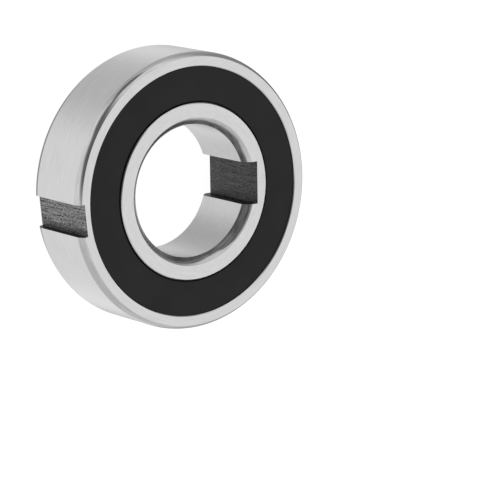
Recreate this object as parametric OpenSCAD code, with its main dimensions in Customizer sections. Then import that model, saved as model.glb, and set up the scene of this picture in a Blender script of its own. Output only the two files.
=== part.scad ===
// Sealed one-way clutch bearing: a row of balls carries the load, and a row of sprags locks one way.
// The axis is Z, z = 0 is mid-width, the front is +Z, and the keyway in the rim points to -X.
// Seen from the front, the inner ring runs free anticlockwise and locks clockwise.

/* [Rings] */
// Bore of the inner ring, for the shaft
bore_d = 25; // [24:0.5:26]
// Outside diameter of the outer ring, for the housing
outside_d = 52; // [51:0.5:56]
// Width across the faces of both rings
width = 15; // [14.8:0.1:18]
// How far the corners reach along the axis, on both rings
corner_len = 1.5; // [0.6:0.1:1.8]
// How far the bore's corners reach across the faces
bore_corner = 1.4; // [0.6:0.1:1.5]
// How far the rim's corners reach across the faces
rim_corner = 0.8; // [0.5:0.1:1.2]
// Angle at each end of a corner's quarter ellipse that grinding the faces, bore and rim took off
corner_cut = 18; // [5:1:30]
// Diameter of the inner ring's land, which the sprags slide on
inner_track_d = 34.4; // [34.2:0.1:34.6]
// Diameter of the outer ring's land, which the sprags wedge against
outer_track_d = 42.6; // [42.4:0.1:42.8]

/* [Keyways] */
// Width of the keyway in the bore
bore_key_w = 8; // [5:0.5:9]
// Depth of the keyway in the bore
bore_key_depth = 2; // [1:0.1:2.4]
// Width of the keyway in the rim
rim_key_w = 6; // [4:0.5:8]
// Depth of the keyway in the rim
rim_key_depth = 1.5; // [0.8:0.1:1.6]
// Turn of the bore's keyway from +X, where the inner ring happens to stand
inner_turn = -5.4; // [-180:0.1:180]

/* [Seals] */
// Diameter of the mouth in the outer ring that a seal clips into
mouth_d = 46.7; // [46.6:0.1:47]
// Depth of a seal's seat below the rings' faces
seat_depth = 1.35; // [1.3:0.05:1.45]
// Depth of a seal's face below the rings' faces
seal_sink = 0.25; // [0.1:0.05:0.3]

/* [Balls] */
// Number of balls
ball_count = 11; // [8:1:11]
// Diameter of a ball
ball_d = 6.35; // [6:0.05:6.4]
// Radius of the raceway grooves, as a share of the ball's diameter
conformity = 0.52; // [0.515:0.005:0.54]
// Height of the ball row from mid-width
ball_row_z = -2.2; // [-2.3:0.1:-2]

/* [Sprags] */
// Number of sprags
sprag_count = 20; // [12:1:21]
// Length of a sprag along the axis
sprag_len = 3.7; // [3:0.1:3.7]
// Width of a sprag along the track
sprag_w = 3.8; // [3.4:0.1:3.8]
// Radius of the cam that bears on the outer ring
head_cam_r = 2.6; // [2.4:0.1:2.8]
// Radius of the cam that bears on the inner ring
foot_cam_r = 2.3; // [2.2:0.1:2.5]
// Angle between a sprag's line of force and the radius, at the inner ring
grip_angle = 4; // [3:0.5:5]

/* [Hidden] */

$fn = 96;

// Gaps between pieces that move past each other
ball_clear = 0.03;
cam_clear = 0.02;
pocket_clear = 0.1;
lip_clear = 0.04;
// Gap between a seal and what it is clipped into or bonded to
seat_gap = 0.02;
bead_clear = 0.06;
bond = 0.01;
// Overshoot of a cut past the face it opens
past = 1;
// Bevel on the small edges of the turned and moulded pieces
edge_break = 0.15;

bore_r = bore_d / 2;
rim_r = outside_d / 2;
face_z = width / 2;
inner_track_r = inner_track_d / 2;
outer_track_r = outer_track_d / 2;
pitch_r = (inner_track_r + outer_track_r) / 2;

// Balls and their raceways
ball_r = ball_d / 2;
raceway_r = conformity * ball_d;
inner_raceway_x = pitch_r - ball_r - ball_clear + raceway_r;
outer_raceway_x = pitch_r + ball_r + ball_clear - raceway_r;

// A seal's seat: a shoulder at seat_z, and a mouth that is undercut behind a sloping lip
mouth_r = mouth_d / 2;
seat_z = face_z - seat_depth;
seat_break = 0.3;
undercut = 0.5;
undercut_h = 0.6;
slope_h = 0.25;
undercut_r = mouth_r + undercut;
slope_z = seat_z + undercut_h;

// The step at the inner ring's edge, which a seal's lip wipes
step_drop = 0.6;
step_r = inner_track_r - step_drop;
step_z = seat_z + 0.05;

// The steel insert of a seal: a flat washer with its rim turned up
insert_t = 0.4;
insert_rim_h = 0.7;
insert_z = seat_z + 0.1;
insert_in_r = step_r + 1.1;
insert_out_r = mouth_r - 0.45;

// The rubber of a seal: a bead in the undercut, a neck in the mouth, a flat face, a dust lip, and the lip
// behind it, which stands forward of lip_back_z and whose tip has a flat lip_land high
bead_r = undercut_r - bead_clear;
neck_r = mouth_r - bead_clear;
seal_face_z = face_z - seal_sink;
dust_lip_r = step_r + 0.3;
dust_lip_t = 0.3;
throat_r = step_r + 0.55;
throat_z = seal_face_z - 0.6;
lip_r = step_r + lip_clear;
lip_back_z = seat_z + 0.1;
lip_bevel = 0.12;
lip_land = 0.14;
lip_root_r = insert_in_r - 0.25;

// Ball cage: a crown whose floor lies behind the balls and whose prongs reach past their middle
crown_gap = 0.55;
crown_floor = 0.42;
crown_reach = 1.2;
prong_t = 1.1;
crown_in_r = inner_track_r + crown_gap;
crown_out_r = outer_track_r - crown_gap;
crown_back_z = ball_row_z - ball_r - pocket_clear - crown_floor;
crown_tip_z = ball_row_z + crown_reach;
ball_gap = 2 * pitch_r * sin(180 / ball_count) - ball_d - 2 * pocket_clear;
notch_w = ball_gap - 2 * prong_t;

// Sprag row, behind the front seal, and the two waists that make room for its cage
sprag_setback = 0.7;
sprag_z = seat_z - sprag_setback - sprag_len;
lean = asin(tan(grip_angle) * (outer_track_r - inner_track_r) / outer_track_r) / 2;
waist_r = 0.8;
waist_out = 0.1;
waist_foot_x = pitch_r - 0.05;
waist_head_x = pitch_r + 0.25;

// Sprag cage: a band with a window for each sprag, and a flange behind the row
band_t = 0.7;
band_setback = 0.3;
band_in_r = pitch_r - 0.3;
band_out_r = band_in_r + band_t;
band_front_z = seat_z - band_setback;
flange_t = 0.3;
flange_gap = 0.45;
flange_in_r = inner_track_r + flange_gap;
flange_out_r = outer_track_r - flange_gap;
flange_top_z = sprag_z - pocket_clear;
window_grip = 0.6;
window_clear = 0.05;
window_w = sprag_w - window_grip;

// Garter spring, in grooves across the sprags' heads that leave a sprag room to tilt
coil_r = 0.45;
spring_sink = 0.85;
groove_side = 0.1;
groove_floor = 0.3;
spring_r = outer_track_r - spring_sink;
spring_z = sprag_z + sprag_len / 2;
spring_groove_w = 2 * (coil_r + groove_side);
spring_groove_r = spring_r - coil_r - groove_floor;

function two_digits(i) = str(i < 10 ? "0" : "", i);
function ball_name(i) = str("ball_", two_digits(i));
function sprag_name(i) = str("sprag_", two_digits(i));
function ball_angle(i) = (i - 1) * 360 / ball_count;
function sprag_angle(i) = (i - 1) * 360 / sprag_count;

// Points along an arc about centre c, from angle a0 to a1 in n steps
function arc(c, r, a0, a1, n) =
    [for (i = [0:n]) c + r * [cos(a0 + (a1 - a0) * i / n), sin(a0 + (a1 - a0) * i / n)]];

// A turned corner, across wide and corner_len long, from the face's end at [face_r, face_z] to the
// side's: the middle of a quarter ellipse whose ends were ground away, so it meets both in an edge.
// side is 1 where the corner lies outside face_r, on the rim, and -1 where it lies inside, in the bore.
function corner(face_r, side, across, n = 10) =
    let (
        share = cos(corner_cut) - sin(corner_cut),
        half_axes = [across, corner_len] / share,
        centre = [-half_axes.x * sin(corner_cut), face_z - half_axes.y * cos(corner_cut)]
    )
    [for (i = [0:n])
        let (a = 90 - corner_cut - (90 - 2 * corner_cut) * i / n)
        [face_r + side * (centre.x + half_axes.x * cos(a)), centre.y + half_axes.y * sin(a)]];

function backwards(points) = [for (i = [len(points) - 1:-1:0]) points[i]];

// A profile's front half, followed by its mirror image behind mid-width
function both_halves(front) =
    concat(front, [for (p = backwards(front)) [p.x, -p.y]]);

outer_ring_front = concat(
    [
        [outer_track_r, seat_z - seat_break],
        [outer_track_r + seat_break, seat_z],
        [undercut_r - edge_break, seat_z],
        [undercut_r, seat_z + edge_break],
        [undercut_r, slope_z],
        [mouth_r, slope_z + slope_h],
        [mouth_r, face_z - edge_break],
        [mouth_r + edge_break, face_z]
    ],
    corner(rim_r - rim_corner, 1, rim_corner)
);

inner_ring_front = concat(
    backwards(corner(bore_r + bore_corner, -1, bore_corner)),
    [
        [step_r - edge_break, face_z],
        [step_r, face_z - edge_break],
        [step_r, step_z + edge_break],
        [step_r + edge_break, step_z],
        [inner_track_r - edge_break, step_z],
        [inner_track_r, step_z - edge_break]
    ]
);

// Rubber of the front seal: bead, neck, face, dust lip, the lip that wipes the inner ring, and the
// pocket that holds the insert
seal_profile = [
    [insert_out_r + bond, seat_z + seat_gap],
    [bead_r - edge_break, seat_z + seat_gap],
    [bead_r, seat_z + seat_gap + edge_break],
    [bead_r, slope_z - bead_clear],
    [neck_r, slope_z + slope_h - bead_clear],
    [neck_r, seal_face_z - edge_break],
    [neck_r - edge_break, seal_face_z],
    [dust_lip_r + edge_break, seal_face_z],
    [dust_lip_r, seal_face_z - edge_break],
    [dust_lip_r, seal_face_z - dust_lip_t],
    [throat_r, throat_z],
    [lip_r, lip_back_z + lip_bevel + lip_land],
    [lip_r, lip_back_z + lip_bevel],
    [lip_r + lip_bevel, lip_back_z],
    [lip_root_r, lip_back_z],
    [insert_in_r - bond, insert_z],
    [insert_in_r - bond, insert_z + insert_t + bond],
    [insert_out_r - insert_t - bond, insert_z + insert_t + bond],
    [insert_out_r - insert_t - bond, insert_z + insert_rim_h + bond],
    [insert_out_r + bond, insert_z + insert_rim_h + bond]
];

insert_profile = [
    [insert_in_r, insert_z],
    [insert_out_r, insert_z],
    [insert_out_r, insert_z + insert_rim_h],
    [insert_out_r - insert_t, insert_z + insert_rim_h],
    [insert_out_r - insert_t, insert_z + insert_t],
    [insert_in_r, insert_z + insert_t]
];

crown_profile = [
    [crown_in_r + edge_break, crown_back_z],
    [crown_out_r - edge_break, crown_back_z],
    [crown_out_r, crown_back_z + edge_break],
    [crown_out_r, crown_tip_z - edge_break],
    [crown_out_r - edge_break, crown_tip_z],
    [crown_in_r + edge_break, crown_tip_z],
    [crown_in_r, crown_tip_z - edge_break],
    [crown_in_r, crown_back_z + edge_break]
];

sprag_cage_profile = [
    [flange_in_r, flange_top_z - flange_t],
    [flange_out_r, flange_top_z - flange_t],
    [flange_out_r, flange_top_z],
    [band_out_r, flange_top_z],
    [band_out_r, band_front_z],
    [band_in_r, band_front_z],
    [band_in_r, flange_top_z],
    [flange_in_r, flange_top_z]
];

// A slot w wide that runs through both faces, on the +X side, from radius near_r out to far_r
module keyway(w, near_r, far_r) {
    translate([near_r, -w / 2, -face_z - past])
        cube([far_r - near_r, w, width + 2 * past]);
}

// Outer ring: ball raceway, plain track for the sprags, a seat for each seal, and a keyway in the rim
module outer_ring() {
    color("lightgray")
        difference() {
            rotate_extrude()
                difference() {
                    polygon(both_halves(outer_ring_front));
                    translate([outer_raceway_x, ball_row_z])
                        circle(r = raceway_r);
                }
            rotate([0, 0, 180])
                keyway(rim_key_w, rim_r - rim_key_depth, rim_r + past);
        }
}

// Inner ring: ball raceway, plain track for the sprags, a step for each seal's lip, and a keyway
module inner_ring() {
    color("lightgray")
        rotate([0, 0, inner_turn])
            difference() {
                rotate_extrude()
                    difference() {
                        polygon(both_halves(inner_ring_front));
                        translate([inner_raceway_x, ball_row_z])
                            circle(r = raceway_r);
                    }
                keyway(bore_key_w, bore_r - 2 * past, bore_r + bore_key_depth);
            }
}

module ball(i) {
    color("whitesmoke")
        rotate([0, 0, ball_angle(i)])
            translate([pitch_r, 0, ball_row_z])
                sphere(r = ball_r);
}

// Notch between two pockets, open at the crown's tips, with a round floor; it leaves a prong on each side
module crown_notch() {
    translate([crown_in_r - past, 0, ball_row_z])
        rotate([90, 0, 90])
            linear_extrude(crown_out_r - crown_in_r + 2 * past)
                polygon(concat(
                    arc([0, 0], notch_w / 2, 180, 360, 10),
                    [[notch_w / 2, 4 * ball_r], [-notch_w / 2, 4 * ball_r]]
                ));
}

// Snap-in crown cage that spaces the balls, its pockets closing round them past the middle
module ball_cage() {
    color("tan")
        difference() {
            rotate_extrude()
                polygon(crown_profile);
            for (i = [1:ball_count]) {
                rotate([0, 0, ball_angle(i)])
                    translate([pitch_r, 0, ball_row_z])
                        sphere(r = ball_r + pocket_clear);
                rotate([0, 0, ball_angle(i + 0.5)])
                    crown_notch();
            }
        }
}

// Where a head's cam meets the outer track lies clockwise of where the foot's cam meets the inner track,
// so that turning the sprag anticlockwise raises it and wedges the rings together
module sprag_profile() {
    difference() {
        intersection() {
            rotate(-lean)
                translate([outer_track_r - cam_clear - head_cam_r, 0])
                    circle(r = head_cam_r);
            rotate(lean)
                translate([inner_track_r + cam_clear + foot_cam_r, 0])
                    circle(r = foot_cam_r);
            translate([inner_track_r, -sprag_w / 2])
                square([outer_track_r - inner_track_r, sprag_w]);
        }
        translate([waist_foot_x, sprag_w / 2 + waist_out])
            circle(r = waist_r);
        translate([waist_head_x, -sprag_w / 2 - waist_out])
            circle(r = waist_r);
    }
}

module sprag(i) {
    color("gray")
        rotate([0, 0, sprag_angle(i)])
            difference() {
                translate([0, 0, sprag_z])
                    linear_extrude(sprag_len)
                        sprag_profile();
                rotate_extrude()
                    translate([spring_groove_r, spring_z - spring_groove_w / 2])
                        square([outer_track_r - spring_groove_r + past, spring_groove_w]);
            }
}

// Cage that spaces the sprags and holds each by its waist
module sprag_cage() {
    color("dimgray")
        difference() {
            rotate_extrude()
                polygon(sprag_cage_profile);
            for (i = [1:sprag_count])
                rotate([0, 0, sprag_angle(i)])
                    translate([band_in_r - past, -window_w / 2, sprag_z - window_clear])
                        cube([band_out_r - band_in_r + 2 * past, window_w, sprag_len + 2 * window_clear]);
        }
}

// Closed coil spring round the whole sprag row, drawn as the tube that its turns fill
module garter_spring() {
    color("silver")
        rotate_extrude()
            translate([spring_r, spring_z])
                circle(r = coil_r);
}

module front_seal() {
    color("#262626")
        rotate_extrude()
            polygon(seal_profile);
}

module front_seal_insert() {
    color("slategray")
        rotate_extrude()
            polygon(insert_profile);
}

module rear_seal() {
    mirror([0, 0, 1])
        front_seal();
}

module rear_seal_insert() {
    mirror([0, 0, 1])
        front_seal_insert();
}

outer_ring();
inner_ring();
ball_cage();
sprag_cage();
garter_spring();
front_seal();
front_seal_insert();
rear_seal();
rear_seal_insert();
for (i = [1:ball_count]) ball(i);
for (i = [1:sprag_count]) sprag(i);
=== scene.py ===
"""Looks for the sealed sprag clutch, 25 x 52 x 15 mm.

Lengths are in millimetres unless a comment says metres, radius first and height second, and are turned
into metres when a surface is made. The axis is Z, the front is +Z, and the rim's keyway points to -X.
"""

import bmesh
import bpy
import numpy as np
from mathutils import Matrix


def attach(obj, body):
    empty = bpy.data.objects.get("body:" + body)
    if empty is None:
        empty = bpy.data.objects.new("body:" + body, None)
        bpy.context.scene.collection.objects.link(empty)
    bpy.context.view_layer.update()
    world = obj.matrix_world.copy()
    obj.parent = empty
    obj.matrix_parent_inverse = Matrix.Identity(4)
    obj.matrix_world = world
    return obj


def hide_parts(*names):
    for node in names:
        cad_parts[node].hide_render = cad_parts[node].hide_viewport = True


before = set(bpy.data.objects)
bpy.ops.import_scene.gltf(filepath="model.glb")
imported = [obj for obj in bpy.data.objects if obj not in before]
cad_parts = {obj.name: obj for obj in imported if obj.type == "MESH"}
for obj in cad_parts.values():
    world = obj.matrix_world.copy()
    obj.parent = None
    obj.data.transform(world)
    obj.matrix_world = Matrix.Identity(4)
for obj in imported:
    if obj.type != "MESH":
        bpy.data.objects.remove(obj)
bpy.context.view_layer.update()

MM = 0.001
TURN = 2 * np.pi
# Corners of a mesh that are nearer to each other than this, in metres, are one corner
SAME_PLACE = 1e-7

# Rings: bore, rim and faces, the sprags' tracks, and the bevel on small turned or moulded edges
BORE_R, RIM_R, FACE_Z = 12.5, 26.0, 7.5
INNER_TRACK_R, OUTER_TRACK_R, EDGE = 17.2, 21.3, 0.15
# Large corners: their length along the axis, and how far they reach across the face
CORNER_LEN, BORE_CORNER, RIM_CORNER = 1.5, 1.4, 0.8
# Angle at each end of a corner's quarter ellipse that grinding the faces, bore and rim took off
BORE_CUT, RIM_CUT = np.radians((30, 18))
# A seal's place: mouth, undercut, the shoulder that it rests on, and the slope from undercut to mouth
MOUTH_R, UNDERCUT_R, SEAT_Z, SLOPE_Z, SLOPE_H = 23.35, 23.85, 6.15, 6.75, 0.25
# The inner ring's step, which a seal's lip wipes
STEP_R, STEP_Z = 16.6, 6.2
# Rounded edges that only a close look shows
RING_ROUND, SPRAG_ROUND = 0.07, 0.08

# Keyways: half their width, the distance of their floor from the axis, and their turn in degrees
BORE_KEY_HALF, BORE_KEY_FLOOR, BORE_KEY_TURN = 4.0, 14.5, -5.4
RIM_KEY_HALF, RIM_KEY_FLOOR, RIM_KEY_TURN = 3.0, 24.5, 180.0

# Ball row: the balls, their clearance, and the groove in each ring with the radius of its centre
BALL_R, BALL_COUNT, BALL_CLEAR, RACE_R, RACE_Z = 3.175, 11, 0.03, 3.302, -2.2
PITCH_R = (INNER_TRACK_R + OUTER_TRACK_R) / 2
INNER_RACE_X = PITCH_R - BALL_R - BALL_CLEAR + RACE_R
OUTER_RACE_X = PITCH_R + BALL_R + BALL_CLEAR - RACE_R

# Sprag row and its garter spring
SPRAG_COUNT = 20
SPRING_R, SPRING_Z, COIL_R, WIRE_R, COIL_TURNS = 20.45, 3.6, 0.45, 0.125, 476


def srgb(code):
    """Linear RGBA of an sRGB hex colour."""
    c = np.array([int(code[i:i + 2], 16) for i in (1, 3, 5)]) / 255
    c = np.where(c <= 0.04045, c / 12.92, ((c + 0.055) / 1.055) ** 2.4)
    return (*c.tolist(), 1.0)


def add(tree, kind, sockets=None, **settings):
    """A new shader node. Each value in sockets is either linked or set on the input of that name."""
    made = tree.nodes.new("ShaderNode" + kind)
    for key, value in settings.items():
        setattr(made, key, value)
    for key, value in (sockets or {}).items():
        if isinstance(value, bpy.types.NodeSocket):
            tree.links.new(value, made.inputs[key])
        else:
            made.inputs[key].default_value = value
    return made


def new_material(name):
    """An empty node material, its tree and its output node."""
    made = bpy.data.materials.new(name)
    made.use_nodes = True
    made.node_tree.nodes.clear()
    return made, made.node_tree, add(made.node_tree, "OutputMaterial")


# A noise seldom leaves this span, and the product of two noises seldom leaves the second one
NOISE_SPAN = {"From Min": 0.3, "From Max": 0.7}
PRODUCT_SPAN = {"From Min": 0.12, "From Max": 0.42}
# Lay round the axis: how far the noise moves on per radian, in metres
ROUND_DRAW = 0.0016
# Lay along the axis: how many times the noise is drawn out for its long rows and its short dashes, the
# dashes' share of the mix, and the gain and shift that give the mix one noise's contrast round 0.5
ROW_DRAW, DASH_DRAW, DASH_SHARE, MIX_GAIN, MIX_SHIFT = 24, 3, 0.6, 1.8, -0.4


def grain(tree, lay, scale, detail=3.0):
    """Noise drawn out along the way the metal was worked, as a number round 0.5.

    Round the axis it is read at (r, z, d x / r, d y / r), which has no seam, with d = ROUND_DRAW. Along
    the axis it is read at (x, y, z / ROW_DRAW) and (x, y, z / DASH_DRAW), for long rows and short
    dashes, and for a lay of "none" at the plain position."""
    at = add(tree, "TexCoord").outputs["Object"]
    fine = {"Scale": scale, "Detail": detail}
    if lay == "none":
        return add(tree, "TexNoise", {"Vector": at, **fine}).outputs["Fac"]
    if lay == "axial":
        noises = []
        for times in (ROW_DRAW, DASH_DRAW):
            drawn = add(tree, "VectorMath", {0: at, 1: (1.0, 1.0, 1 / times)}, operation="MULTIPLY")
            noises.append(add(tree, "TexNoise", {"Vector": drawn.outputs[0], **fine}).outputs["Fac"])
        rows, dashes = noises
        mixed = add(tree, "Mix", {0: DASH_SHARE, 2: rows, 3: dashes}, data_type="FLOAT").outputs[0]
        return add(tree, "Math", {0: mixed, 1: MIX_GAIN, 2: MIX_SHIFT}, operation="MULTIPLY_ADD").outputs[0]
    apart = add(tree, "SeparateXYZ", {0: at})
    flat = add(tree, "CombineXYZ", {"X": apart.outputs["X"], "Y": apart.outputs["Y"]})
    radius = add(tree, "VectorMath", {0: flat.outputs[0]}, operation="LENGTH").outputs["Value"]
    outward = add(tree, "VectorMath", {0: flat.outputs[0]}, operation="NORMALIZE")
    unit = add(tree, "SeparateXYZ", {0: outward.outputs[0]})
    around = [add(tree, "Math", {0: unit.outputs[axis], 1: ROUND_DRAW}, operation="MULTIPLY").outputs[0]
              for axis in "XY"]
    place = add(tree, "CombineXYZ", {"X": radius, "Y": apart.outputs["Z"], "Z": around[0]})
    noise = add(tree, "TexNoise", {"Vector": place.outputs[0], "W": around[1], **fine},
                noise_dimensions="4D")
    return noise.outputs["Fac"]


# Furnace's scale on the bore's front corner: the radii between which it thins out, how far that edge
# wanders either way, and the width of the strokes and patches that it wanders by
COVER_FULL_R, COVER_END_R, COVER_WANDER, STROKE, BLOTCH = 13.0, 13.35, 0.2, 0.5, 4
# Stretches of that edge: the degrees round the axis of each one's middle and how far it lies further
# out, and the distances from the middle up to which all of that counts and from which none does
STRETCHES = ((62, 0.2), (115, -0.35), (160, -0.6), (205, -0.35), (240, 0.4), (325, 0.45))
STRETCH_FULL, STRETCH_END = 4, 9


def scale_cover(tree):
    """How much of the bore's corner the dark scale covers: all of it by the bore, none by the face. Its
    edge wanders in long strokes round the axis, and lies further in or out on some stretches."""
    at = add(tree, "TexCoord").outputs["Object"]
    flat = add(tree, "VectorMath", {0: at, 1: (1.0, 1.0, 0.0)}, operation="MULTIPLY")
    radius = add(tree, "VectorMath", {0: flat.outputs[0]}, operation="LENGTH").outputs["Value"]
    strokes = grain(tree, "round", 1 / (STROKE * MM), detail=5.0)
    patches = grain(tree, "none", 1 / (BLOTCH * MM), detail=1.0)
    both = add(tree, "Math", {0: strokes, 1: patches}, operation="ADD").outputs[0]
    both_span = {end: 2 * value for end, value in NOISE_SPAN.items()}
    moved = add(tree, "MapRange", {"Value": both, **both_span, "To Min": -COVER_WANDER * MM,
                                   "To Max": COVER_WANDER * MM}).outputs[0]
    for turn, reach in STRETCHES:
        a = np.radians(turn)
        middle = (BORE_R * MM * np.cos(a), BORE_R * MM * np.sin(a), 0.0)
        away = add(tree, "VectorMath", {0: flat.outputs[0], 1: middle}, operation="DISTANCE")
        further = add(tree, "MapRange", {"Value": away.outputs["Value"], "From Min": STRETCH_FULL * MM,
                                         "From Max": STRETCH_END * MM, "To Min": -reach * MM,
                                         "To Max": 0.0}, interpolation_type="SMOOTHSTEP")
        moved = add(tree, "Math", {0: moved, 1: further.outputs[0]}, operation="ADD").outputs[0]
    moved = add(tree, "Math", {0: moved, 1: radius}, operation="ADD").outputs[0]
    cover = add(tree, "MapRange", {"Value": moved, "From Min": COVER_FULL_R * MM,
                                   "From Max": COVER_END_R * MM, "To Min": 1.0, "To Max": 0.0},
                interpolation_type="SMOOTHSTEP")
    return cover.outputs[0]


# Painted shade in the rim's keyway: how far off its middle the floor starts to darken towards the wall at
# -Y, how far off it is darkest, and the share of its tone that it has there
DARKEN_FROM, DARKEN_TO, DARKEN_SHARE = 1.3, 2.1, 0.58


def painted_wall_shade(tree, level):
    """Painted shade: takes a floor's tone down towards the wall at -Y, as the photo shows it."""
    at = add(tree, "TexCoord").outputs["Object"]
    beside = add(tree, "VectorMath", {0: at, 1: (0.0, -1.0, 0.0)}, operation="DOT_PRODUCT")
    share = add(tree, "MapRange", {"Value": beside.outputs["Value"], "From Min": DARKEN_FROM * MM,
                                   "From Max": DARKEN_TO * MM, "To Min": 1.0, "To Max": DARKEN_SHARE},
                interpolation_type="SMOOTHSTEP")
    return add(tree, "Math", {0: level, 1: share.outputs[0]}, operation="MULTIPLY").outputs[0]


# Width of a metal's soft patches and of the scale's streaks, how much a metal's roughness varies either
# way, and how metallic the scale is
PATCH, STREAK, ROUGH_VARIES, SCALE_METALLIC = 6, 0.4, 0.1, 0.25


def metal(name, light, dark, rough, lay, lines_mm=0.06, depth_mm=0.0004, mottle=0.04,
          scale_tones=None, shade_one_wall=False):
    """A worked metal: fine lines along its lay, and broad soft patches in tone and roughness.

    light and dark are the two tones between which the lines run, lines_mm is about one line's width,
    depth_mm is their depth, and mottle is how much darker the patches get. With scale_tones the
    furnace's scale, streaky between those two, covers the smaller radii. With shade_one_wall the tone falls
    towards one wall of the rim's keyway."""
    made, tree, out = new_material(name)
    lines = grain(tree, lay, 1 / (lines_mm * MM) / 2)
    patches = grain(tree, "none", 1 / (PATCH * MM), detail=4.0)
    tone = add(tree, "MapRange", {"Value": lines, **NOISE_SPAN})
    colour = add(tree, "Mix", {0: tone.outputs[0], 6: srgb(dark), 7: srgb(light)}, data_type="RGBA")
    level = add(tree, "MapRange", {"Value": patches, **NOISE_SPAN, "To Min": 1 - mottle,
                                   "To Max": 1.0}).outputs[0]
    # Painted shade: the floor's tone falls towards one wall of the rim's keyway
    if shade_one_wall:
        level = painted_wall_shade(tree, level)
    bare = 1.0
    if scale_tones:
        cover = scale_cover(tree)
        streaks = grain(tree, "round", 1 / (STREAK * MM), detail=2.0)
        share = add(tree, "MapRange", {"Value": streaks, **NOISE_SPAN}).outputs[0]
        scale = add(tree, "Mix", {0: share, 6: srgb(scale_tones[0]), 7: srgb(scale_tones[1])},
                    data_type="RGBA")
        colour = add(tree, "Mix", {0: cover, 6: colour.outputs[2], 7: scale.outputs[2]}, data_type="RGBA")
        bare = add(tree, "MapRange", {"Value": cover, "To Min": 1.0, "To Max": SCALE_METALLIC}).outputs[0]
    shade = add(tree, "VectorMath", {0: colour.outputs[2], "Scale": level}, operation="SCALE")
    spread = add(tree, "MapRange", {"Value": patches, **NOISE_SPAN, "To Min": rough * (1 - ROUGH_VARIES),
                                    "To Max": rough * (1 + ROUGH_VARIES)})
    bump = add(tree, "Bump", {"Height": lines, "Distance": depth_mm * MM, "Strength": 1.0})
    face = add(tree, "BsdfPrincipled", {"Base Color": shade.outputs[0], "Metallic": bare,
                                        "Roughness": spread.outputs[0], "Normal": bump.outputs[0]})
    tree.links.new(face.outputs[0], out.inputs["Surface"])
    return made


# Width of the soft patches in which a moulded skin's flecks show
SKIN_PATCH = 5


def moulded(name, tone, fleck, rough, grain_mm, depth_mm, sheen):
    """A moulded rubber or plastic: a fine pebbled skin with paler flecks. sheen is the specular level."""
    made, tree, out = new_material(name)
    pebbles = grain(tree, "none", 1 / (grain_mm * MM), detail=4.0)
    patches = grain(tree, "none", 1 / (SKIN_PATCH * MM), detail=2.0)
    both = add(tree, "Math", {0: pebbles, 1: patches}, operation="MULTIPLY")
    share = add(tree, "MapRange", {"Value": both.outputs[0], **PRODUCT_SPAN})
    colour = add(tree, "Mix", {0: share.outputs[0], 6: srgb(tone), 7: srgb(fleck)}, data_type="RGBA")
    bump = add(tree, "Bump", {"Height": pebbles, "Distance": depth_mm * MM, "Strength": 1.0})
    face = add(tree, "BsdfPrincipled", {"Base Color": colour.outputs[2], "Roughness": rough,
                                        "Specular IOR Level": sheen, "Normal": bump.outputs[0]})
    tree.links.new(face.outputs[0], out.inputs["Surface"])
    return made


# Real grinding, honing and broaching lines are about 0.01 mm wide, and so are the marks of polishing,
# tumbling, rolling and drawing. That is too fine to show in the render, so the widths below are as
# coarse as they need to be to show, from 0.05 to 0.2 mm. The depths are typical ones. After its name
# and two tones a metal has its roughness, its lay, the width and depth of its lines, and its mottle.

# Ground bearing steel has a light satin sheen with even lines round the axis: faces, rim and tracks
ground_steel = metal("ground bearing steel", "#d6d6d6", "#cbcbcb", 0.28, "round", 0.09)
# Honed, it looks the same but a little duller, and its darker tone is painted shade: the bore
honed_painted_shade_steel = metal("honed bearing steel with painted shade", "#cccccc", "#c0c0c0", 0.3, "round", 0.09)
# Turned, hardened and tumbled, it is glossier and less even: the rim's corners, steps and undercuts
turned_steel = metal("turned bearing steel", "#d0d0d0", "#b6b6b6", 0.15, "round", 0.10, 0.0006)
# With the furnace's scale left on, it has a dark streaky coat with a ragged edge: bore's front corner
scaled_steel = metal("scaled bearing steel", "#cacaca", "#b4b4b4", 0.26, "round", 0.10, 0.0008, 0.06,
                     scale_tones=("#383838", "#8a8a8a"))
# Broached and darkened in the furnace, it is dull with light and dark rows along the axis: the floor of
# the rim's keyway, with painted shade towards one wall; that of the bore's, in a darker tone that is
# painted shade; and the walls of both, whose near black is partly the furnace's and partly painted shade
broached_steel = metal("broached dark steel", "#aaaaaa", "#0c0c0c", 0.45, "axial", 0.09, 0.002, 0.2,
                       shade_one_wall=True)
# The bore keyway floor's darker tone is painted shade
dull_painted_shade_steel = metal("broached dull steel with painted shade", "#686868", "#3a3a3a", 0.5, "axial", 0.09, 0.0015, 0.3)
# The keyway walls are near black: partly the furnace's blackening and partly painted shade
black_painted_shade_steel = metal("broached black steel with painted shade", "#484848", "#181818", 0.45, "axial", 0.097, 0.004, 0.25)
# Polished, it mirrors sharply: balls and raceways
polished_steel = metal("polished bearing steel", "#dededd", "#d4d4d3", 0.08, "round", 0.05, 0.00005)
# Hardened steel, tumbled after hardening, is greyer and blurs what it mirrors, with no lay: sprags
tumbled_steel = metal("tumbled hardened steel", "#a9a9aa", "#949496", 0.34, "none", 0.15, 0.0006)
# Cold rolled steel strip has a soft, slightly warm grey sheen: the sprag cage and the seals' inserts
strip_steel = metal("cold rolled steel strip", "#b5b3ad", "#a3a19b", 0.38, "none", 0.2, 0.0005)
# Hard drawn spring wire is smooth and a darker, cooler grey: the garter spring
spring_wire = metal("hard drawn spring wire", "#96969a", "#84848a", 0.26, "none", 0.05, 0.0002)
# Nitrile rubber filled with carbon black is matt and nearly black, with hardly any sheen: both seals
nitrile_rubber = moulded("black nitrile rubber", "#141414", "#1c1c1c", 0.62, 0.12, 0.002, 0.25)
# Glass filled nylon is the colour of straw, with paler flecks of glass: the ball cage
glass_nylon = moulded("glass filled nylon", "#b49a62", "#c4ad7c", 0.45, 0.10, 0.001, 0.5)

# What the faces of a ring's surface are, as the numbers of their materials on the ring
GROUND, TURNED, SCALED, KEY_FLOOR, KEY_WALL, RACE, HONED = range(7)


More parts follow.
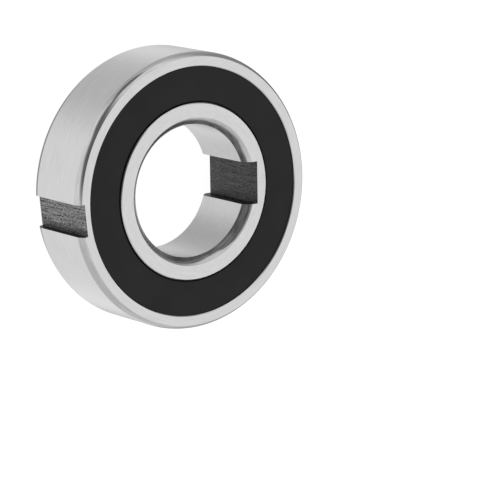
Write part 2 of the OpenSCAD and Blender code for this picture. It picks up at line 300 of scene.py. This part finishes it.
def ring_steels(key_floor):
    """A ring's finishes, in the order of the numbers above."""
    return [ground_steel, turned_steel, scaled_steel, key_floor, black_painted_shade_steel, polished_steel, honed_painted_shade_steel]


def finished(obj, body, materials, nodes):
    """Gives a piece its materials, its body and the CAD nodes it stands for."""
    for one in materials:
        obj.data.materials.append(one)
    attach(obj, body)
    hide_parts(*nodes)
    return obj


def solid(name, corners, faces, region=None, crisp=35):
    """A mesh object from corners in mm and quads. Corners that coincide are joined, which turns the
    quads that shrink to a line or a triangle there into clean seams and poles. Normals point outwards,
    and edges that turn by more than crisp degrees stay sharp."""
    mesh = bpy.data.meshes.new(name)
    mesh.from_pydata((corners * MM).tolist(), [], faces.tolist())
    if region is not None:
        mesh.polygons.foreach_set("material_index", region.ravel())
    work = bmesh.new()
    work.from_mesh(mesh)
    bmesh.ops.remove_doubles(work, verts=work.verts, dist=SAME_PLACE)
    bmesh.ops.recalc_face_normals(work, faces=work.faces)
    work.to_mesh(mesh)
    work.free()
    mesh.polygons.foreach_set("use_smooth", np.ones(len(mesh.polygons), bool))
    mesh.set_sharp_from_angle(angle=np.radians(crisp))
    made = bpy.data.objects.new(name, mesh)
    bpy.context.scene.collection.objects.link(made)
    return made


def quads(rows, columns, close_rows=True):
    """Corner numbers of the quads between a grid's neighbouring rows and columns. The last column
    always joins the first, and the last row joins the first if close_rows."""
    i = np.arange(rows if close_rows else rows - 1)[:, None]
    j = np.arange(columns)[None, :]
    up, on = (i + 1) % rows, (j + 1) % columns
    corners = [i * columns + j, i * columns + on, up * columns + on, up * columns + j]
    return np.stack(corners, -1).reshape(-1, 4)


def bevelled(obj, width_mm, angle=60):
    """A narrow rounded edge wherever two faces meet more sharply than angle degrees."""
    edge = obj.modifiers.new("edge", "BEVEL")
    edge.width = width_mm * MM
    edge.segments = 2
    edge.limit_method = "ANGLE"
    edge.angle_limit = np.radians(angle)
    edge.harden_normals = True
    return obj


def ellipse(c, across, along, start, end, steps):
    """Points c + (across cos a, along sin a), with a from start to end degrees."""
    a = np.radians(np.linspace(start, end, steps + 1))
    return np.stack([c[0] + across * np.cos(a), c[1] + along * np.sin(a)], -1)


def outline_kinds(points, race_x):
    """For each point of an outline, what the surface up to the next point is: honed in the bore, ground
    where it lies on a face, the rim or a track, race in the ball groove, scaled on the bore's front
    corner, and turned anywhere else."""
    ahead = np.roll(points, -1, 0)
    same_r, same_z = np.isclose(points, ahead).T
    held_r = np.isclose(points[:, :1], [RIM_R, INNER_TRACK_R, OUTER_TRACK_R]).any(1)
    bore = same_r & np.isclose(points[:, 0], BORE_R)
    ground = (same_z & np.isclose(abs(points[:, 1]), FACE_Z)) | (same_r & held_r)
    from_race = [np.hypot(p[:, 0] - race_x, p[:, 1] - RACE_Z) for p in (points, ahead)]
    race = np.isclose(from_race, RACE_R).all(0)
    bore_corner = ((points[:, 0] + ahead[:, 0]) / 2 < BORE_R + BORE_CORNER) & (points[:, 1] > 0)
    return np.select([race, bore, ground, bore_corner], [RACE, HONED, GROUND, SCALED], TURNED)


def keyed_ring(name, points, race_x, half, floor, turn, outside, columns=420, across=16, fade_deg=20):
    """A turned ring with a keyway, as one closed surface.

    A column of the grid lies in the plane y = t inside the keyway, |t| <= half, so it stands at the
    angle asin(t / r). There x is held at the keyway's floor: x = min(r cos a, floor) for a keyway in
    the rim (outside true), x = max(...) for one in the bore. Beyond the walls the angle at radius r is
    b + w (asin(half / r) - asin(half / floor)), and w fades from 1 at the one wall, and from -1 at the
    other, to 0 at fade_deg past it. The two rows where the floor comes out on the faces lie at
    r = hypot(floor, t)."""
    key_rows = np.flatnonzero(np.isclose(points[:, 0], floor) & np.isclose(abs(points[:, 1]), FACE_Z))
    wall = np.arcsin(half / floor)
    t = np.linspace(-half, half, across + 1)
    b = np.linspace(wall, TURN - wall, columns)
    first, last = (np.clip(1 - past / np.radians(fade_deg), 0, 1) for past in (b - wall, TURN - wall - b))
    t_all = np.concatenate([t, np.full(columns, half)])
    inside = np.arange(len(t_all)) <= across
    r = np.repeat(points[:, :1], len(t_all), 1)
    r[key_rows] = np.hypot(floor, t_all)
    z = np.repeat(points[:, 1:], len(t_all), 1)
    lean = np.arcsin(half / r[:, ~inside]) - wall
    angle = np.concatenate([np.arcsin(t / r[:, inside]), b + (first - last) * lean], 1)
    x, y = r * np.cos(angle), r * np.sin(angle)
    held = np.minimum(x, floor) if outside else np.maximum(x, floor)
    x = np.where(inside, held, x)
    s = np.radians(turn)
    corners = np.stack([x * np.cos(s) - y * np.sin(s), x * np.sin(s) + y * np.cos(s), z], -1)
    kinds = np.repeat(outline_kinds(points, race_x)[:, None], len(t_all), 1)
    kinds[key_rows[0]:key_rows[1], :across] = KEY_FLOOR
    kinds[key_rows[0]:key_rows[1], [across, -1]] = KEY_WALL
    return solid(name, corners.reshape(-1, 3), quads(len(points), len(t_all)), kinds, crisp=8)


def ring_outline(front, race_x, start, end, rim_last):
    """A ring's closed outline: its front half, the same mirrored in mid-width, and the ball groove."""
    rear = front[::-1] * [1, -1]
    halves = [front, rear] if rim_last else [rear, front]
    return np.concatenate(halves + [ellipse((race_x, RACE_Z), RACE_R, RACE_R, start, end, steps=30)])


def corner(face_r, side, across, cut, steps=16):
    """A ring's corner from the face's end to the side's: the middle of a quarter ellipse.

    Its points are (face_r + side (A cos a - A sin cut), FACE_Z + B sin a - B cos cut), with a from 90
    degrees - cut down to cut, and A and B such that it reaches across and CORNER_LEN."""
    a = np.linspace(np.pi / 2 - cut, cut, steps + 1)
    half_across, half_along = np.array([across, CORNER_LEN]) / (np.cos(cut) - np.sin(cut))
    return np.stack([face_r + side * half_across * (np.cos(a) - np.sin(cut)),
                     FACE_Z + half_along * (np.sin(a) - np.cos(cut))], -1)


# Outer ring: from the track over the seal's seat, undercut and mouth to the face, the corner and the
# rim. groove is half the angle of the ball groove's arc
outer_front = np.concatenate([
    [[OUTER_TRACK_R, SEAT_Z - 2 * EDGE], [OUTER_TRACK_R + 2 * EDGE, SEAT_Z], [UNDERCUT_R - EDGE, SEAT_Z],
     [UNDERCUT_R, SEAT_Z + EDGE], [UNDERCUT_R, SLOPE_Z], [MOUTH_R, SLOPE_Z + SLOPE_H],
     [MOUTH_R, FACE_Z - EDGE], [MOUTH_R + EDGE, FACE_Z], [RIM_KEY_FLOOR, FACE_Z]],
    corner(RIM_R - RIM_CORNER, 1, RIM_CORNER, RIM_CUT),
])
groove = np.degrees(np.arccos((OUTER_TRACK_R - OUTER_RACE_X) / RACE_R))
outer_outline = ring_outline(outer_front, OUTER_RACE_X, -groove, groove, rim_last=True)
outer_ring = keyed_ring("outer_ring_surface", outer_outline, OUTER_RACE_X, RIM_KEY_HALF, RIM_KEY_FLOOR,
                        RIM_KEY_TURN, outside=True)
bevelled(outer_ring, RING_ROUND)
finished(outer_ring, "outer_ring", ring_steels(broached_steel), ["outer_ring"])

# Inner ring: from the bore over the corner, the face and the step under the seal's lip to the track
inner_front = np.concatenate([
    corner(BORE_R + BORE_CORNER, -1, BORE_CORNER, BORE_CUT)[::-1],
    [[BORE_KEY_FLOOR, FACE_Z], [STEP_R - EDGE, FACE_Z], [STEP_R, FACE_Z - EDGE], [STEP_R, STEP_Z + EDGE],
     [STEP_R + EDGE, STEP_Z], [INNER_TRACK_R - EDGE, STEP_Z], [INNER_TRACK_R, STEP_Z - EDGE]],
])
groove = np.degrees(np.arccos((INNER_RACE_X - INNER_TRACK_R) / RACE_R))
inner_outline = ring_outline(inner_front, INNER_RACE_X, 180 - groove, 180 + groove, rim_last=False)
inner_ring = keyed_ring("inner_ring_surface", inner_outline, INNER_RACE_X, BORE_KEY_HALF, BORE_KEY_FLOOR,
                        BORE_KEY_TURN, outside=False)
bevelled(inner_ring, RING_ROUND)
finished(inner_ring, "inner_ring", ring_steels(dull_painted_shade_steel), ["inner_ring"])


def revolved(name, points, columns=300):
    """A closed outline turned once round the axis: (r cos a, r sin a, z)."""
    a = np.arange(columns) * TURN / columns
    r, z = points[:, :1], points[:, 1:]
    corners = np.stack([r * np.cos(a), r * np.sin(a), z + 0 * a], -1).reshape(-1, 3)
    return solid(name, corners, quads(len(points), columns))


# A seal's gaps to the seat and to the mouth, and its bond to the insert
SEAT_GAP, BEAD_CLEAR, BOND = 0.02, 0.06, 0.01
# The insert: a flat washer with its rim turned up
INSERT_IN_R, INSERT_OUT_R, INSERT_Z, INSERT_T, INSERT_RIM_H = 17.7, 22.9, 6.25, 0.4, 0.7
# The rubber: bead in the undercut, neck in the mouth, flat face, dust lip, throat, and the lip that
# wipes the inner ring, whose tip is bevelled and has a flat LIP_LAND high
BEAD_R, NECK_R, SEAL_FACE_Z = UNDERCUT_R - BEAD_CLEAR, MOUTH_R - BEAD_CLEAR, 7.25
DUST_LIP_R, DUST_LIP_T, THROAT_R, THROAT_Z = 16.9, 0.3, STEP_R + 0.55, SEAL_FACE_Z - 0.6
LIP_R, LIP_BACK_Z, LIP_BEVEL, LIP_LAND, LIP_ROOT_R = 16.64, 6.25, 0.12, 0.14, INSERT_IN_R - 0.25
seal = np.concatenate([
    [[INSERT_OUT_R + BOND, SEAT_Z + SEAT_GAP], [BEAD_R - EDGE, SEAT_Z + SEAT_GAP],
     [BEAD_R, SEAT_Z + SEAT_GAP + EDGE], [BEAD_R, SLOPE_Z - BEAD_CLEAR],
     [NECK_R, SLOPE_Z + SLOPE_H - BEAD_CLEAR]],
    ellipse((NECK_R - EDGE / 2, SEAL_FACE_Z - EDGE / 2), EDGE / 2, EDGE / 2, 0, 90, steps=4),
    ellipse((DUST_LIP_R + EDGE, SEAL_FACE_Z - EDGE), EDGE, EDGE, 90, 180, steps=4),
    [[DUST_LIP_R, SEAL_FACE_Z - DUST_LIP_T], [THROAT_R, THROAT_Z],
     [LIP_R, LIP_BACK_Z + LIP_BEVEL + LIP_LAND], [LIP_R, LIP_BACK_Z + LIP_BEVEL],
     [LIP_R + LIP_BEVEL, LIP_BACK_Z], [LIP_ROOT_R, LIP_BACK_Z],
     [INSERT_IN_R - BOND, INSERT_Z], [INSERT_IN_R - BOND, INSERT_Z + INSERT_T + BOND],
     [INSERT_OUT_R - INSERT_T - BOND, INSERT_Z + INSERT_T + BOND],
     [INSERT_OUT_R - INSERT_T - BOND, INSERT_Z + INSERT_RIM_H + BOND],
     [INSERT_OUT_R + BOND, INSERT_Z + INSERT_RIM_H + BOND]],
])
for side, flip in (("front", 1), ("rear", -1)):
    made = revolved(side + "_seal_surface", seal * [1, flip])
    finished(made, "outer_ring", [nitrile_rubber], [side + "_seal"])

# Balls: a sphere of 32 by 64 quads, (R cos u cos v, R cos u sin v, R sin u), about each ball's centre
SPHERE_ROWS, SPHERE_COLUMNS = 33, 64
u = np.radians(np.linspace(-90, 90, SPHERE_ROWS))[:, None]
v = np.arange(SPHERE_COLUMNS)[None] * TURN / SPHERE_COLUMNS
sphere = BALL_R * np.stack([np.cos(u) * np.cos(v), np.cos(u) * np.sin(v), np.sin(u) + 0 * v], -1)
for i in range(BALL_COUNT):
    a = i * TURN / BALL_COUNT
    corners = sphere.reshape(-1, 3) + [PITCH_R * np.cos(a), PITCH_R * np.sin(a), RACE_Z]
    node = f"ball_{i + 1:02d}"
    made = solid(node + "_surface", corners, quads(SPHERE_ROWS, SPHERE_COLUMNS, close_rows=False))
    finished(made, node, [polished_steel], [node])


def coil_spring(name, turns, steps=10, sides=5):
    """A wire wound round a ring. With u once round the axis and v = turns * u, its centre line is at
    radius R + c cos v and height Z + c sin v, where c = COIL_R - WIRE_R. Round that line the wire's skin
    is WIRE_R (cos p N + sin p B), N the way out of the coil and B = T x N, T the line's direction."""
    u = np.arange(turns * steps) * TURN / (turns * steps)
    v = turns * u
    c = COIL_R - WIRE_R
    out = np.stack([np.cos(u), np.sin(u), 0 * u], -1)
    on = np.stack([-np.sin(u), np.cos(u), 0 * u], -1)
    up = np.array([0.0, 0.0, 1.0])
    cos_v, sin_v = np.cos(v)[:, None], np.sin(v)[:, None]
    normal = cos_v * out + sin_v * up
    line = SPRING_R * out + SPRING_Z * up + c * normal
    along = (SPRING_R + c * cos_v) * on + turns * c * (cos_v * up - sin_v * out)
    along /= np.linalg.norm(along, axis=1, keepdims=True)
    side = np.cross(along, normal)
    p = (np.arange(sides) * TURN / sides)[None, :, None]
    skin = line[:, None] + WIRE_R * (np.cos(p) * normal[:, None] + np.sin(p) * side[:, None])
    return solid(name, skin.reshape(-1, 3), quads(turns * steps, sides), crisp=180)


spring = coil_spring("garter_spring_surface", COIL_TURNS)
finished(spring, "outer_ring", [spring_wire], ["garter_spring"])


def merged_copy(node, body, material, round_mm=0.0, flat=0.2, crisp=30):
    """The CAD solid's own surface with its loose triangles joined, flat areas, which turn by less than
    flat degrees, made into single faces, and edges that turn by less than crisp degrees shaded smooth.
    round_mm eases its sharp edges."""
    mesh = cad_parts[node].data.copy()
    mesh.materials.clear()
    work = bmesh.new()
    work.from_mesh(mesh)
    bmesh.ops.remove_doubles(work, verts=work.verts, dist=SAME_PLACE)
    bmesh.ops.dissolve_limit(work, angle_limit=np.radians(flat), verts=work.verts, edges=work.edges)
    work.to_mesh(mesh)
    work.free()
    mesh.polygons.foreach_set("use_smooth", np.ones(len(mesh.polygons), bool))
    mesh.set_sharp_from_angle(angle=np.radians(crisp))
    made = bpy.data.objects.new(node + "_surface", mesh)
    bpy.context.scene.collection.objects.link(made)
    if round_mm:
        bevelled(made, round_mm, angle=40)
    return finished(made, body, [material], [node])


for i in range(1, SPRAG_COUNT + 1):
    merged_copy(f"sprag_{i:02d}", f"sprag_{i:02d}", tumbled_steel, SPRAG_ROUND)
merged_copy("sprag_cage", "outer_ring", strip_steel)
merged_copy("ball_cage", "ball_cage", glass_nylon)
merged_copy("front_seal_insert", "outer_ring", strip_steel)
merged_copy("rear_seal_insert", "outer_ring", strip_steel)

# The floor: half its side, how far it lies below the rear face, its paint, and the glow that makes it
# white while the object's shadow still shows
FLOOR_HALF, FLOOR_GAP, FLOOR_PAINT, FLOOR_GLOW = 4000, 0.02, "#6a6a6a", 0.96
# The room's light, and its sides: azimuth and elevation of each one's middle, the angles from there
# within which it has its full effect and beyond which it has none, and what share of the light it leaves
ROOM = 1.3
ROOM_SIDES = [
    (95, -8, 11, 16, 0.22),
    (120, 3, 11, 19, 0.23),
    (145, 36, 15, 44, 0.17),
    (81, -39, 6, 43, 0.6),
    (20, -6, 7, 51, 0.34),
    (245, -5, 32, 56, 0.76),
    (333, -21, 33, 43, 0.52),
    (11, -36, 9, 22, 0.7),
    (0, -90, 14, 30, 0.4),
]


def studio():
    """A white floor under the rear face, and a soft white room all round it that is dimmer towards
    some directions, though the camera sees it as plain white. Metal mirrors the room itself, also where
    the floor lies in the way."""
    made, tree, out = new_material("white studio floor")
    paint = add(tree, "BsdfDiffuse", {"Color": srgb(FLOOR_PAINT)})
    glow = add(tree, "Emission", {"Strength": FLOOR_GLOW})
    both = add(tree, "AddShader", {0: paint.outputs[0], 1: glow.outputs[0]})
    clear = add(tree, "BsdfTransparent")
    mirrored = add(tree, "LightPath").outputs["Is Glossy Ray"]
    shown = add(tree, "MixShader", {0: mirrored, 1: both.outputs[0], 2: clear.outputs[0]})
    tree.links.new(shown.outputs[0], out.inputs["Surface"])
    square = np.array([(-1, -1), (1, -1), (1, 1), (-1, 1)]) * FLOOR_HALF
    corners = np.column_stack([square, np.full(4, -FACE_Z - FLOOR_GAP)])
    mesh = bpy.data.meshes.new("floor")
    mesh.from_pydata((corners * MM).tolist(), [], [(0, 1, 2, 3)])
    mesh.materials.append(made)
    floor = bpy.data.objects.new("floor", mesh)
    bpy.context.scene.collection.objects.link(floor)

    world = bpy.data.worlds.new("soft studio")
    bpy.context.scene.world = world
    world.use_nodes = True
    tree = world.node_tree
    tree.nodes.clear()
    toward = add(tree, "TexCoord").outputs["Generated"]
    light = ROOM
    for azimuth, elevation, full, none, share in ROOM_SIDES:
        a, e, full, none = np.radians((azimuth, elevation, full, none))
        middle = (np.cos(a) * np.cos(e), np.sin(a) * np.cos(e), np.sin(e))
        near = add(tree, "VectorMath", {0: toward, 1: middle}, operation="DOT_PRODUCT").outputs["Value"]
        side = add(tree, "MapRange", {"Value": near, "From Min": np.cos(none), "From Max": np.cos(full),
                                      "To Min": 1.0, "To Max": share}, interpolation_type="SMOOTHSTEP")
        light = add(tree, "Math", {0: light, 1: side.outputs[0]}, operation="MULTIPLY").outputs[0]
    seen = add(tree, "LightPath").outputs["Is Camera Ray"]
    shown = add(tree, "Mix", {0: seen, 2: light, 3: 1.0}, data_type="FLOAT")
    sky = add(tree, "Background", {"Strength": shown.outputs[0]})
    tree.links.new(sky.outputs[0], add(tree, "OutputWorld").inputs["Surface"])


studio()

# The photo's own view, found by fitting a camera to the edges of both rings: which way the picture's
# right, its top and the camera's back point, where the camera stands, in metres, and its lens
RIGHT, UP = (0.79164, -0.09012, 0.60430), (0.22399, 0.96301, -0.14982)
BACK, STANDS = (-0.56844, 0.25397, 0.78254), (-0.295569, 0.124768, 0.427010)
LENS, SENSOR = 213.911, 36
camera = bpy.data.objects.new("photo camera", bpy.data.cameras.new("photo camera"))
bpy.context.scene.collection.objects.link(camera)
camera.matrix_world = Matrix([*zip(RIGHT, UP, BACK, STANDS), (0, 0, 0, 1)])
camera.data.lens = LENS
camera.data.sensor_width = SENSOR
camera.data.clip_start = 0.05
bpy.context.scene.camera = camera
bpy.context.scene.view_settings.view_transform = "Standard"
